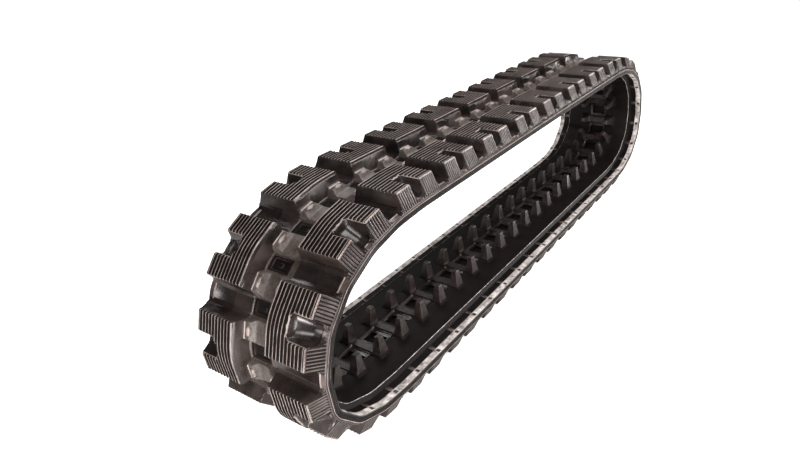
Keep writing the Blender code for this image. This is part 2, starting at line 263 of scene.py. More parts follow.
def rib_groove(u):
    """How far a place along the belt lies in a groove between two shoulder ribs."""
    off = np.abs((np.abs(u) - LEG_MIDDLE + RIB_PITCH / 2) % RIB_PITCH - RIB_PITCH / 2)
    return np.clip((off - RIB_CREST_HALF) / RIB_SLANT, 0, 1)


BOWL_HALF = 17
BOWL_RISE = 11.0
BOWL_POWER = 2.4
BOWL_LIMIT = 1.2
BACK_HALF = 18.5
BACK_ROUNDING = 6
BACK_POWER = 4
BACK_LIMIT = 1.15


def scoop(side, far):
    """Height of the scoop. Its floor rises to the sides as a bowl, and its back is rounded.
    The limits let both curves run on a little past their half width."""
    bowl = BOWL_RISE * np.clip(side / BOWL_HALF, 0, BOWL_LIMIT) ** BOWL_POWER
    rounded = far - BACK_ROUNDING * np.clip(side / BACK_HALF, 0, BACK_LIMIT) ** BACK_POWER
    return np.maximum(np.interp(rounded, *scoop_floor) + bowl, np.interp(side, *scoop_side))


PAD_START = 17.2
PAD_REACH = 40
RAMP_LEVELS = (15.5, 24)
RAMP_SLANTS = (2.8, 9.5)
KNOB_PLACE = 25.0
KNOB_HALF_LENGTH = 11
KNOB_HALF_WIDTH = 5.5
KNOB_HEIGHT = 4.5


def pad(side, far, end, mine):
    """Height of a centre pad, over a core, with its knob. It climbs away from the middle,
    with a longer slant where it is higher, and ends at the foot of a lug."""
    ramp = np.interp(far, *pad_top)
    ramp = np.where(mine, ramp, np.minimum(ramp, np.maximum(PAD_LOW, end - 1)))
    slant = np.interp(ramp, RAMP_LEVELS, RAMP_SLANTS)
    rise = np.sin(np.clip((side - PAD_START) / slant, 0, 1) * math.pi / 2)
    off = np.hypot((PITCH / 2 - side) / KNOB_HALF_LENGTH, (far - KNOB_PLACE) / KNOB_HALF_WIDTH)
    knob = KNOB_HEIGHT * np.sqrt(np.clip(1 - off**2, 0, 1))
    return np.where(far < PAD_REACH, BASE + (ramp - BASE) * rise + knob, 0)


# Steps of a centre pocket, as depth, reach along, reach across and slant: the frame, the
# pocket and the boss in it.
POCKET_STEPS = (
    (2.2, (-15.5, 15.5), (-22, 34), 1.2),
    (3.8, (-11.5, 11.5), (-16, 28), 1.2),
    (-2.0, (-4.5, 4.5), (1, 11), 1.5),
)


def tread(u, v, own):
    """Height of the tread over the cords. The lug of the cell stands in the row on the own
    side, and in the other row two lugs end."""
    side, far = np.abs(u), np.abs(v)
    mine = v * own > 0
    ribbed = np.interp(far, RIB_STRETCH, (0, 1, 1, 0))
    lug = np.interp(far, *lug_section) - RIB_DEPTH * rib_groove(u) * ribbed
    end = np.interp(PITCH - side, *lug_end)
    lug = np.minimum(lug, np.where(mine, scoop(side, far), end))
    pocket = 0
    for depth, length, width, slant in POCKET_STEPS:
        pocket = pocket + depth * np.minimum(hump(u, *length, slant), hump(v, *width, slant))
    height = np.maximum(np.maximum(lug, np.interp(far, *gap_floor)), pad(side, far, end, mine))
    return height - pocket


# The inner face has a recess between two cores, the path of the rollers, a step up to a strip
# with a cross ridge at each core, and a margin with a square at each core.
PATH = -17.0
MIDDLE = -13.0
STRIP = -6.4
MARGIN = -7.8
UNDER_EDGE = -5.6
RECESS_HALF_LENGTH = 17.6
RECESS_HALF_WIDTH = 24
RECESS_DEPTH = 8.0
RECESS_SLANT = 2.0
CROSS_HALF = 6.2
CROSS_HEIGHT = 1.9
CROSS_SLANT = 1.4
CROSS_STRETCH = (124.5, 126.5, 140.4, 141.6)
SQUARE_HALF = 4.2
SQUARE_HEIGHT = 0.8
SQUARE_SLANT = 0.8
SQUARE_STRETCH = (145.6, 157.4)
SQUARE_END_SLANT = 0.7
HORN_HALF_LENGTH = 16.5
HORN_STRETCH = (34.5, 61)
HORN_FILLET = 7.0
HORN_FILLET_HEIGHT = 3.6
BAR_HALF_LENGTH = 12.5
BAR_STRETCH = 36
BAR_FILLET = 6.0
BAR_FILLET_HEIGHT = 2.4
inner_section = eased(
    [
        (0, MIDDLE, 0),
        (27.5, MIDDLE, 2),
        (32, PATH, 3),
        (117.5, PATH, 3),
        (123.5, STRIP, 2),
        (CROSS_STRETCH[3], STRIP, 0.6),
        (142.8, MARGIN, 0.6),
        (158.6, MARGIN, 0.8),
        (BELT_EDGE, UNDER_EDGE, 0),
    ]
)


def inner_face(u, v):
    """Height of the inner face. Each core lies half a pitch from the middle of the cell, and
    the rubber climbs a little round its horns and its bar."""
    side, far = np.abs(u), np.abs(v)
    from_core = PITCH / 2 - side
    recess = np.minimum(
        hump(u, -RECESS_HALF_LENGTH, RECESS_HALF_LENGTH, RECESS_SLANT),
        hump(v, -RECESS_HALF_WIDTH, RECESS_HALF_WIDTH, RECESS_SLANT),
    )
    face = np.interp(far, *inner_section) + recess * RECESS_DEPTH
    ridge = hump(from_core, -CROSS_HALF, CROSS_HALF, CROSS_SLANT)
    face = face - ridge * np.interp(far, CROSS_STRETCH, (0, 1, 1, 0)) * CROSS_HEIGHT
    square = hump(from_core, -SQUARE_HALF, SQUARE_HALF, SQUARE_SLANT)
    face = face - square * hump(far, *SQUARE_STRETCH, SQUARE_END_SLANT) * SQUARE_HEIGHT
    beside = np.maximum(from_core - HORN_HALF_LENGTH, 0)
    across = np.maximum(np.maximum(HORN_STRETCH[0] - far, far - HORN_STRETCH[1]), 0)
    near_horn = np.clip(1 - np.hypot(beside, across) / HORN_FILLET, 0, 1)
    beside = np.maximum(from_core - BAR_HALF_LENGTH, 0)
    near_bar = np.clip(1 - beside / BAR_FILLET, 0, 1) * (far < BAR_STRETCH)
    return face - np.maximum(HORN_FILLET_HEIGHT * near_horn**2, BAR_FILLET_HEIGHT * near_bar**2)


# Side of the belt, as (place across, height), from the ledge down, with an upper and a lower
# bead between grooves.
UPPER_BEAD = (5.9, 7.6)
edge_section = (
    (BELT_EDGE, EDGE_TOP),
    (BELT_EDGE, UPPER_BEAD[1]),
    (BELT_EDGE, UPPER_BEAD[0]),
    (159.0, 5.3),
    (159.0, 4.1),
    (BELT_EDGE, 3.5),
    (BELT_EDGE, 0.6),
    (159.2, 0.1),
    (159.2, -1.0),
    (BELT_EDGE, -1.5),
    (BELT_EDGE, -3.6),
    (BELT_EDGE, UNDER_EDGE),
)

WALL_LEVELS = (49.2, 46.5, 42.0, 36.0, 29.0, 22.0, 17.0, 13.0, 11.2)
LEAST_SPACING = 0.34


def places_at(profile, level):
    """Places where a profile passes a level."""
    places, heights = profile
    found = []
    for i in range(len(places) - 1):
        low, high = sorted((heights[i], heights[i + 1]))
        if low < level <= high:
            share = (level - heights[i]) / (heights[i + 1] - heights[i])
            found.append(places[i] + share * (places[i + 1] - places[i]))
    return found


def grid_lines(edges, places, high):
    """Places of grid lines, alike on both sides of zero up to a limit. Of two that all but
    coincide one is left out, and edges come before other places."""
    kept = [0, high]
    for choice in (edges, places):
        for place in sorted(choice):
            if 0 < place < high and min(abs(place - other) for other in kept) > LEAST_SPACING:
                kept.append(place)
    half = sorted(kept)
    return np.array([-place for place in reversed(half[1:])] + half)


def lines_along():
    """Places along a cell where the surface turns: at the scoop, the shoulder ribs, the
    pocket, the pad and the lug ends."""
    edges = list(scoop_side[0])
    rib_foot_half = RIB_CREST_HALF + RIB_SLANT
    for number in range(-3, 1):
        middle = LEG_MIDDLE + number * RIB_PITCH
        edges += [middle - rib_foot_half, middle - RIB_CREST_HALF]
        edges += [middle + RIB_CREST_HALF, middle + rib_foot_half]
    places = [3, 4.5, 6, 7.5, 9, 10.3, 11.5, 12.8, 14.3, 15.5, 16.4, PAD_START, 20.2, 22, 24.2]
    places += [26.5, 28.5, 30.5, 32, 34, 36.8, 40.6, 42]
    for level in WALL_LEVELS:
        places += [PITCH - place for place in places_at(lug_end, level)]
    places += [PITCH - place for place in lug_end[0]]
    return grid_lines(edges, places, PITCH / 2)


def lines_across_tread():
    """Places across the tread where the surface turns: at the profiles, the bowl of the scoop,
    and the pads, knobs and pockets."""
    places = list(scoop_floor[0]) + list(pad_top[0]) + list(gap_floor[0])
    for level in WALL_LEVELS:
        places += places_at(lug_section, level)
    places += RIB_STRETCH[:3]
    places += [92.5, 95, 98, 101, 108, 112, 116, 120, 128, 132, 136]
    places += [1, 2.5, 9.5, 11, 14.8, 16, 18.6, 20.8, 22, 23.5, 25, 26.8, 28, 29.4, 30.4, 32.8, 34]
    return grid_lines(list(lug_section[0]), places, BELT_EDGE)


def lines_across_inner_face():
    """Places across the inner face where the surface turns: at its profile, the recess, the
    foot of the horns, the cross ridges and the squares."""
    places = [22, RECESS_HALF_WIDTH, BAR_STRETCH, 38, 45, 53, 58, 61, 63, 65, 67.5, 80, 96]
    places += CROSS_STRETCH[:3] + (145.6, 146.3, 156.7, 157.4)
    return grid_lines(list(inner_section[0]), places, BELT_EDGE)


FLAT_SQUARE = 0.003


def diagonal_faces(corner, middle, grid, flip):
    """Faces of a grid. A square that isn't flat is split along the diagonal that lies closer
    to the surface at its middle."""
    rows, columns = corner.shape
    one = (corner[:-1, :-1] + corner[1:, 1:]) / 2
    other = (corner[1:, :-1] + corner[:-1, 1:]) / 2
    bent = np.abs(one - other) > FLAT_SQUARE
    first = np.abs(one - middle) <= np.abs(other - middle)
    faces = []
    for i in range(rows - 1):
        for j in range(columns - 1):
            a, b, c, d = grid[i, j], grid[i + 1, j], grid[i + 1, j + 1], grid[i, j + 1]
            if not bent[i, j]:
                made = [(a, b, c, d)]
            elif first[i, j]:
                made = [(a, b, c), (a, c, d)]
            else:
                made = [(a, b, d), (b, c, d)]
            faces += [tuple(reversed(face)) for face in made] if flip else made
    return faces


# Finishes of the rubber, in the order of the mesh's material slots. A face gets its own by the
# place and the height of its middle, and the way it faces.
# The light lines on crests, rims, beads and knobs are painted highlights, and the black in
# grooves, pockets and hollows and on the belt's side is painted shade.
MOULDED, SCUFFED_AND_HIGHLIGHT, HIGHLIGHT_PAINTED, GRAINED, ROLLED, SHADE_PAINTED, POLISHED, RIBBED = range(8)
SIDE_FROM = 158.8
PATH_FROM = 30
STEP_FROM = 116.8
STEP_LEVEL = -16.2
STEP_WALL = (117.4, 123.6)
STRIP_FROM = 124
CROSS_LEVEL = -7.4
MARGIN_FROM = 142.6
MARGIN_LEVEL = -7.0
SQUARE_LEVEL = -8.2
RECESS_TO = 24.6
RECESS_LEVEL = -12.4


def inner_kind(far, height, normal):
    """Finish of the inner face. The margin is pale, scuffed and with a painted sheen, a line at
    the foot of the step is a painted highlight, the squares and the cross ridges are dark, and the
    recess and the step's wall get painted shade."""
    if far > MARGIN_FROM and height < MARGIN_LEVEL:
        return RIBBED if height < SQUARE_LEVEL else SCUFFED_AND_HIGHLIGHT
    if far > STEP_FROM and height < STEP_LEVEL and normal.z > -0.97:
        return SCUFFED_AND_HIGHLIGHT
    if STEP_WALL[0] < far < STEP_WALL[1]:
        return SHADE_PAINTED
    if STRIP_FROM < far < MARGIN_FROM and height < CROSS_LEVEL:
        return RIBBED
    if far < RECESS_TO and height > RECESS_LEVEL:
        return SHADE_PAINTED
    return ROLLED if PATH_FROM < far < MARGIN_FROM else MOULDED


CENTRE_TO = SPINE_FOOT + 0.3
KNOB_FROM = 19
KNOB_LEVEL = 25.4
PAD_LEVEL = 9.2
BEAD_STRETCH = (143.4, 147.2)
BEAD_LEVELS = (9.4, LEDGE + 1.4)
RIDGE_FLOOR = LUG_TOP - RIDGE_HEIGHT - 0.4
RIDGE_STRETCH = (47, 139.6)
RIDGE_CREST = LUG_TOP - 0.3
FLAT_CREST = LUG_TOP - 0.5
LUG_END_RIM = LUG_TOP - 2.3
SPINE_WALL = (41.6, 46)
SPINE_WALL_LEVEL = 45.2
SPINE_RIM = LUG_TOP - 1.2
SHOULDER_RIM = (139.8, SHOULDER_TOP + 1.7)
SHOULDER_RIM_LEVEL = LUG_TOP - 2.5
SCOOP_HALF = 20.5
SCOOP_STRETCH = (86, 143)
SCOOP_LEVEL = 5
BACK_RIM_TO = 93
BACK_RIM_LEVEL = LUG_TOP - 5.4
SIDE_RIM_LEVEL = LUG_TOP - 3.2
LEDGE_FROM = 147
RIBS = (SHOULDER_TOP + 1.6, SHOULDER_FOOT - 0.6)
ON_SECTION = 0.5
ON_CREST = 0.1


def tread_kind(x, far, height, normal):
    """Finish of the tread. Pads are grained; crests, rims, beads and knobs get a painted
    highlight; scoops are polished; grooves, pockets and the walls between ribs get painted shade,
    and the rest is as moulded."""
    if far < CENTRE_TO:
        if far > KNOB_FROM and height > KNOB_LEVEL:
            return HIGHLIGHT_PAINTED
        if height > PAD_LEVEL:
            return GRAINED
        return SHADE_PAINTED if normal.z > 0.95 else MOULDED
    if BEAD_STRETCH[0] < far < BEAD_STRETCH[1] and BEAD_LEVELS[0] < height < BEAD_LEVELS[1]:
        return HIGHLIGHT_PAINTED
    if height > RIDGE_FLOOR:
        faces_across_or_up = abs(normal.x) < 0.2 and abs(normal.z) > 0.2
        if faces_across_or_up and RIDGE_STRETCH[0] < far < RIDGE_STRETCH[1]:
            return HIGHLIGHT_PAINTED if height > RIDGE_CREST else SHADE_PAINTED
        if normal.z > 0.97:
            return HIGHLIGHT_PAINTED if height > FLAT_CREST else SHADE_PAINTED
    if height > LUG_END_RIM and normal.z > 0.25 and abs(normal.x) > 0.3:
        return HIGHLIGHT_PAINTED
    steep = abs(normal.y) > 0.5
    if SPINE_WALL[0] < far < SPINE_WALL[1] and height > SPINE_WALL_LEVEL and steep:
        return HIGHLIGHT_PAINTED if height > SPINE_RIM else POLISHED
    if SHOULDER_RIM[0] < far < SHOULDER_RIM[1] and height > SHOULDER_RIM_LEVEL:
        return HIGHLIGHT_PAINTED
    in_scoop = abs(x) < SCOOP_HALF and SCOOP_STRETCH[0] < far < SCOOP_STRETCH[1]
    if in_scoop and height > SCOOP_LEVEL:
        rim_level = BACK_RIM_LEVEL if far < BACK_RIM_TO else SIDE_RIM_LEVEL
        return HIGHLIGHT_PAINTED if height > rim_level and abs(normal.z) < 0.95 else POLISHED
    if far > LEDGE_FROM and normal.z > 0.9:
        return RIBBED
    if RIBS[0] < far < RIBS[1]:
        on_section = abs(height - np.interp(far, *lug_section)) < ON_SECTION
        if on_section and rib_groove(x) < ON_CREST:
            return RIBBED
        if steep:
            return SHADE_PAINTED
    return MOULDED


def rubber_kind(middle, normal):
    """Finish of the rubber at a face. On the belt's side the upper bead gets a painted highlight
    and the rest painted shade.
    """
    far, height = abs(middle.y), middle.z
    if abs(normal.y) > 0.99 and far > SIDE_FROM:
        return HIGHLIGHT_PAINTED if UPPER_BEAD[0] < height < UPPER_BEAD[1] else SHADE_PAINTED
    if height < 0:
        return inner_kind(far, height, normal)
    return tread_kind(middle.x, far, height, normal)


SAME_PLACE = 0.01
FLAT_ANGLE = math.radians(0.15)
FLEX_CUTS = range(-18, 19, 6)


def middles(line):
    """Places halfway between the lines of a grid."""
    return (line[1:] + line[:-1]) / 2


def belt_cell(own):
    """Mesh of one pitch of the belt, laid flat, with the lug on the own side. It is cut across
    in the stretch that bends."""
    us = lines_along()
    points, faces = [], []
    for vs, surface, flip in (
        (lines_across_tread(), lambda u, v: tread(u, v, own), False),
        (lines_across_inner_face(), inner_face, True),
    ):
        u, v = np.meshgrid(us, vs, indexing="ij")
        heights = surface(u, v)
        between = surface(*np.meshgrid(middles(us), middles(vs), indexing="ij"))
        grid = len(points) + np.arange(heights.size).reshape(heights.shape)
        points.extend(np.stack([u, v, heights], axis=-1).reshape(-1, 3))
        faces.extend(diagonal_faces(heights, between, grid, flip))
    count = len(edge_section)
    for side in (-1, 1):
        first = len(points)
        for place in us:
            points.extend((place, side * across, height) for across, height in edge_section)
        for i in range(len(us) - 1):
            for j in range(count - 1):
                a = first + i * count + j
                face = (a, a + count, a + count + 1, a + 1)
                faces.append(face if side > 0 else tuple(reversed(face)))
    bm = bmesh.new()
    verts = [bm.verts.new(point) for point in points]
    for face in faces:
        bm.faces.new([verts[index] for index in face])
    bmesh.ops.remove_doubles(bm, verts=bm.verts, dist=SAME_PLACE)
    for face in bm.faces:
        face.normal_update()
        face.material_index = rubber_kind(face.calc_center_median(), face.normal)
    # The lines of verts at the cell's ends stay, as they have to meet those of the next cell.
    inside = [vert for vert in bm.verts if not vert.is_boundary]
    bmesh.ops.dissolve_limit(
        bm, angle_limit=FLAT_ANGLE, verts=inside, edges=bm.edges, delimit={"MATERIAL"}
    )
    for place in FLEX_CUTS:
        everything = bm.verts[:] + bm.edges[:] + bm.faces[:]
        bmesh.ops.bisect_plane(
            bm, geom=everything, dist=SAME_PLACE / 10, plane_co=(place, 0, 0), plane_no=(1, 0, 0)
        )
    bmesh.ops.triangulate(bm, faces=bm.faces)
    return bm


def cell_arrays(bm):
    """Points, triangles and finishes of a cell."""
    bm.verts.index_update()
    points = np.array([vert.co[:] for vert in bm.verts])
    faces = np.array([[vert.index for vert in face.verts] for face in bm.faces])
    kinds = np.array([face.material_index for face in bm.faces])
    return points, faces, kinds


cells = {own: cell_arrays(belt_cell(own)) for own in (1, -1)}


def linear(shade):
    """Linear colour of an sRGB hex value."""
    parts = [int(shade[i : i + 2], 16) / 255 for i in (1, 3, 5)]
    return (*[x / 12.92 if x <= 0.04045 else ((x + 0.055) / 1.055) ** 2.4 for x in parts], 1)


def add(tree, kind, links=(), stops=(), **settings):
    """Adds a node. Links are (socket, output of another node) pairs, stops the (place, hex
    colour) pairs of a ramp, and settings its own values or, with inputs, those of sockets."""
    node = tree.nodes.new(kind)
    for socket, value in settings.pop("inputs", {}).items():
        node.inputs[socket].default_value = value
    for name, value in settings.items():
        setattr(node, name, value)
    for number, (place, shade) in enumerate(stops):
        stop = node.color_ramp.elements[number]
        stop.position, stop.color = place, linear(shade)
    for socket, output in links:
        tree.links.new(output, node.inputs[socket])
    return node


def new_material(name):
    """Empty material, with its tree and its shader."""
    made = bpy.data.materials.new(name)
    made.use_nodes = True
    tree = made.node_tree
    return made, tree, tree.nodes["Principled BSDF"]


def clouded(name, cloud_mm, dark, pale, detail=4.0, break_up=0.55):
    """Material whose colour drifts in clouds of about that width, from a dark to a pale stop.
    Its tree and its shader come with it, and its nodes are named place, cloud and colour."""
    made, tree, shader = new_material(name)
    place = add(tree, "ShaderNodeTexCoord", name="place")
    cloud = add(
        tree,
        "ShaderNodeTexNoise",
        [("Vector", place.outputs["Object"])],
        name="cloud",
        inputs={"Scale": METRE / cloud_mm, "Detail": detail, "Roughness": break_up},
    )
    links = [("Fac", cloud.outputs["Fac"])]
    colour = add(tree, "ShaderNodeValToRGB", links, (dark, pale), name="colour")
    tree.links.new(colour.outputs["Color"], shader.inputs["Base Color"])
    return made, tree, shader


# Moulded rubber, black with carbon and a little warm brown: satin, duller in clouds where the
# release agent dried, and a little wavy, so that its highlights break up.
WAVE_MM = 22
SKIN_MM = 4
moulded_rubber, tree, shader = clouded(
    "moulded_rubber", 55, (0.35, "#130f0e"), (0.7, "#352d2a"), detail=3.0, break_up=0.5
)
place, cloud = tree.nodes["place"], tree.nodes["cloud"]
gloss = add(
    tree,
    "ShaderNodeMapRange",
    [("Value", cloud.outputs["Fac"])],
    inputs={"From Min": 0.3, "From Max": 0.7, "To Min": 0.18, "To Max": 0.36},
)
tree.links.new(gloss.outputs["Result"], shader.inputs["Roughness"])
wave = add(
    tree,
    "ShaderNodeTexNoise",
    [("Vector", place.outputs["Object"])],
    inputs={"Scale": METRE / WAVE_MM, "Detail": 2.0, "Roughness": 0.5},
)
skin = add(
    tree,
    "ShaderNodeTexNoise",
    [("Vector", place.outputs["Object"])],
    inputs={"Scale": METRE / SKIN_MM, "Detail": 5.0, "Roughness": 0.65},
)
wavy = add(
    tree,
    "ShaderNodeBump",
    [("Height", wave.outputs["Fac"])],
    inputs={"Strength": 0.3, "Distance": 0.003},
)
bump = add(
    tree,
    "ShaderNodeBump",
    [("Height", skin.outputs["Fac"]), ("Normal", wavy.outputs["Normal"])],
    inputs={"Strength": 0.2, "Distance": 0.0005},
)
tree.links.new(bump.outputs["Normal"], shader.inputs["Normal"])

# Rubber on the margin of the inner face, pale and blotchy: scuffed by the frame rails, with a
# painted sheen on top. The same finish paints a highlight line at the foot of the step.
scuffed_and_highlight_rubber, tree, shader = clouded(
    "scuffed_and_highlight_rubber", 16, (0.35, "#7a726f"), (0.62, "#eae5e2"), detail=5.0, break_up=0.65
)
shader.inputs["Roughness"].default_value = 0.42

# Painted highlight on the crests of ridges, rims, beads and knobs: a warm light line on each,
# standing in for the glint of the lamps.
highlight_painted_rubber, tree, shader = clouded("highlight_painted_rubber", 22, (0.3, "#594f4b"), (0.7, "#9a8f8a"))
shader.inputs["Roughness"].default_value = 0.4

# Rubber with the grain of the mould's cast centre plates: brown-grey, dull, with dark pits.
PIT_MM = 3.2
grained_rubber, tree, shader = clouded(
    "grained_rubber", 28, (0.3, "#2f2926"), (0.7, "#564d49"), detail=5.0, break_up=0.65
)
place, colour = tree.nodes["place"], tree.nodes["colour"]
grain = add(
    tree,
    "ShaderNodeTexNoise",
    [("Vector", place.outputs["Object"])],
    inputs={"Scale": METRE / PIT_MM, "Detail": 3.0, "Roughness": 0.6},
)
links = [("Fac", grain.outputs["Fac"])]
pits = add(tree, "ShaderNodeValToRGB", links, ((0.33, "#6a625d"), (0.47, "#ffffff")))
links = [(0, colour.outputs["Color"]), (1, pits.outputs["Color"])]
pitted = add(tree, "ShaderNodeVectorMath", links, operation="MULTIPLY")
tree.links.new(pitted.outputs["Vector"], shader.inputs["Base Color"])
shader.inputs["Roughness"].default_value = 0.45
bump = add(
    tree,
    "ShaderNodeBump",
    [("Height", grain.outputs["Fac"])],
    inputs={"Strength": 0.4, "Distance": 0.0008},
)
tree.links.new(bump.outputs["Normal"], shader.inputs["Normal"])

# Rubber in the scoops and high on the spine's wall, where the mould was polished so that soil
# lets go: black and glossy.
polished_rubber, tree, shader = clouded("polished_rubber", 35, (0.3, "#110d0c"), (0.7, "#2c2523"))
shader.inputs["Roughness"].default_value = 0.24

# Painted shade: black, dull rubber at the bottom of grooves, in pockets, the recess and the step's
# wall, on the belt's side and on the cut face.
shade_painted_rubber, tree, shader = clouded("shade_painted_rubber", 40, (0.3, "#060404"), (0.7, "#0f0b0a"))
shader.inputs["Roughness"].default_value = 0.55
shader.inputs["Specular IOR Level"].default_value = 0.15

# Rubber of the path that the rollers run on, pressed smooth: nearly black, with little shine.
rolled_rubber, tree, shader = clouded("rolled_rubber", 45, (0.3, "#0a0706"), (0.7, "#17110f"))
shader.inputs["Roughness"].default_value = 0.5
shader.inputs["Specular IOR Level"].default_value = 0.15

# Rubber on the shoulder ribs and the cross ridges, glossy from the mould and a little rubbed:
# dark brown, and bright only where it faces a lamp.
ribbed_rubber, tree, shader = clouded("ribbed_rubber", 24, (0.3, "#282120"), (0.7, "#574d49"))
shader.inputs["Roughness"].default_value = 0.26

FINISHES = (
    moulded_rubber,
    scuffed_and_highlight_rubber,
    highlight_painted_rubber,
    grained_rubber,
    rolled_rubber,
    shade_painted_rubber,
    polished_rubber,
    ribbed_rubber,
)
SHARP_ANGLE = math.radians(44)
SEAM_GAP = 0.00002
CUT_GAP = 0.0001


def close_cut(bm, zone):
    """Closes the belt where it is cut across the middle of a zone, with a black face."""
    middle = (zone + 0.5) * PITCH
    here, ahead = laid_round([(middle, 0, 0), (middle + 1, 0, 0)])
    heading = Vector(ahead - here).normalized()

    def on_cut(vert):
        return abs((vert.co - Vector(here)).dot(heading)) < CUT_GAP

    cut = [edge for edge in bm.edges if edge.is_boundary and all(map(on_cut, edge.verts))]
    made = bmesh.ops.edgeloop_fill(bm, edges=cut, mat_nr=SHADE_PAINTED)
    bmesh.ops.triangulate(bm, faces=made["faces"])


def belt_piece(name, parts, cut_zone=None):
    """Belt object from (zone, low u, high u) parts, cut at those places of the cell. A zone is
    the pitch that follows the core of that number, and its cell lies with its middle there."""
    all_points, all_faces, all_kinds, count = [], [], [], 0
    for zone, low, high in parts:
        points, faces, kinds = cells[1 if zone % 2 == 0 else -1]
        if (low, high) != (-PITCH / 2, PITCH / 2):
            centre = points[faces][:, :, 0].mean(axis=1)
            inside = (centre > low) & (centre < high)
            faces, kinds = faces[inside], kinds[inside]
        all_points.append(laid_round(points + ((zone + 0.5) * PITCH, 0, 0)))
        all_faces.append(faces + count)
        all_kinds.append(kinds)
        count += len(points)
    faces = np.concatenate(all_faces)
    mesh = bpy.data.meshes.new(name)
    mesh.vertices.add(count)
    mesh.vertices.foreach_set("co", np.concatenate(all_points).ravel())
    mesh.loops.add(len(faces) * 3)
    mesh.loops.foreach_set("vertex_index", faces.ravel())
    mesh.polygons.add(len(faces))
    mesh.polygons.foreach_set("loop_start", np.arange(len(faces)) * 3)
    mesh.polygons.foreach_set("material_index", np.concatenate(all_kinds))
    mesh.update()
    bm = bmesh.new()
    bm.from_mesh(mesh)
    bmesh.ops.remove_doubles(bm, verts=bm.verts, dist=SEAM_GAP)
    loose = [vert for vert in bm.verts if not vert.link_faces]
    bmesh.ops.delete(bm, geom=loose, context="VERTS")
    if cut_zone is not None:
        close_cut(bm, cut_zone)
    bm.to_mesh(mesh)
    bm.free()
    for rubber in FINISHES:
        mesh.materials.append(rubber)
    mesh.shade_smooth()
    mesh.set_sharp_from_angle(angle=SHARP_ANGLE)
    piece = bpy.data.objects.new(name, mesh)
    bpy.context.scene.collection.objects.link(piece)
    return piece


def whole_cells(zones):
    return [(zone, -PITCH / 2, PITCH / 2) for zone in zones]


# A body has the cells between its hinge zones, and the belt bends across those. The zone
# between rear_lower and ground_run has no joint, so it is cut across its middle.
OPEN_ZONE = 28
for body, parts, cut_zone in (
    ("ground_run", [(OPEN_ZONE, 0, PITCH / 2)] + whole_cells(range(29, 44)), OPEN_ZONE),
    ("front_lower", whole_cells(range(45, 48)), None),
    ("front_upper", whole_cells(range(1, 4)), None),
    ("top_run", whole_cells(range(5, 20)), None),
    ("rear_upper", whole_cells(range(21, 24)), None),
    ("rear_lower", whole_cells(range(25, 28)) + [(OPEN_ZONE, -PITCH / 2, 0)], OPEN_ZONE),
):
    piece = belt_piece(body + "_belt", parts, cut_zone)
    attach(piece, body)
    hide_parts(body + "_carcass")
for name, zone, before, after in (
    ("front_lower_flex", 44, "ground_run", "front_lower"),
    ("front_apex_flex", 0, "front_lower", "front_upper"),
    ("front_upper_flex", 4, "front_upper", "top_run"),
    ("rear_upper_flex", 20, "top_run", "rear_upper"),
    ("rear_apex_flex", 24, "rear_upper", "rear_lower"),
):
    piece = belt_piece(name, whole_cells([zone]))
    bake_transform(piece)


# Cores
# Forged steel, bonded into the rubber at each link, with a thin skin of rubber over the two
# guide horns and the drive bar. The dies leave round edges.
EDGE_ROUND = 0.0022
EDGE_ANGLE = math.radians(25)
SAME_POINT = 0.00005

# Forging under a thin skin of rubber: dark and blotchy, half glossy, with a fine grain.
GRAIN_MM = 2.5
skinned_steel, tree, shader = clouded(
    "rubber_skinned_forging", 14, (0.35, "#130f0e"), (0.68, "#39312e"), detail=5.0, break_up=0.6
)
shader.inputs["Roughness"].default_value = 0.36
place = tree.nodes["place"]
grain = add(
    tree,
    "ShaderNodeTexNoise",
    [("Vector", place.outputs["Object"])],
    inputs={"Scale": METRE / GRAIN_MM, "Detail": 4.0, "Roughness": 0.55},
)
bump = add(
    tree,
    "ShaderNodeBump",
    [("Height", grain.outputs["Fac"])],
    inputs={"Strength": 0.35, "Distance": 0.0008},
)
tree.links.new(bump.outputs["Normal"], shader.inputs["Normal"])
for number in range(1, LINKS + 1):
    core = frame["nodes"][f"core_{number:02d}"]
    core.data.materials.clear()
    core.data.materials.append(skinned_steel)
    weld = core.modifiers.new("weld", "WELD")
    weld.merge_threshold = SAME_POINT
    rounding = core.modifiers.new("rounding", "BEVEL")
    rounding.width = EDGE_ROUND
    rounding.segments = 2
    rounding.limit_method = "ANGLE"
    rounding.angle_limit = EDGE_ANGLE


# Cord belts
# Brassed steel cords, wound side by side in two bands and laid in a thin rubber ply. They lie
# inside the rubber and show only where it is cut.
CORD_SPACING_MM = 4.0
WAVE_TURNS = 20 / (2 * math.pi)

# Brassed cord: yellow metal strands with dark rubber between them. A wave texture has
# WAVE_TURNS bands in a unit of its scale.
cord_ply, tree, shader = new_material("brassed_cord_ply")
place = add(tree, "ShaderNodeTexCoord")
strands = add(
    tree,
    "ShaderNodeTexWave",
    [("Vector", place.outputs["Object"])],
    bands_direction="Y",
    inputs={"Scale": METRE / CORD_SPACING_MM / WAVE_TURNS, "Distortion": 0.0},
)
links = [("Fac", strands.outputs["Fac"])]
colour = add(tree, "ShaderNodeValToRGB", links, ((0.3, "#2a2420"), (0.7, "#b08d4a")))
tree.links.new(colour.outputs["Color"], shader.inputs["Base Color"])
shader.inputs["Metallic"].default_value = 0.8
shader.inputs["Roughness"].default_value = 0.45
for body in frame["bodies"]:
    cords = frame["nodes"][body + "_cord_belt"]
    cords.data.materials.clear()
    cords.data.materials.append(cord_ply)


# Ground and light
# A sheet of white paper on the floor under big soft lamps, as for a catalogue picture. It isn't
# part of the object.
FLOOR_HALF = 12.0
mesh = bpy.data.meshes.new("studio_floor")
bm = bmesh.new()
bmesh.ops.create_grid(bm, x_segments=1, y_segments=1, size=FLOOR_HALF)
bm.to_mesh(mesh)
bm.free()
floor = bpy.data.objects.new("studio_floor", mesh)
bpy.context.scene.collection.objects.link(floor)

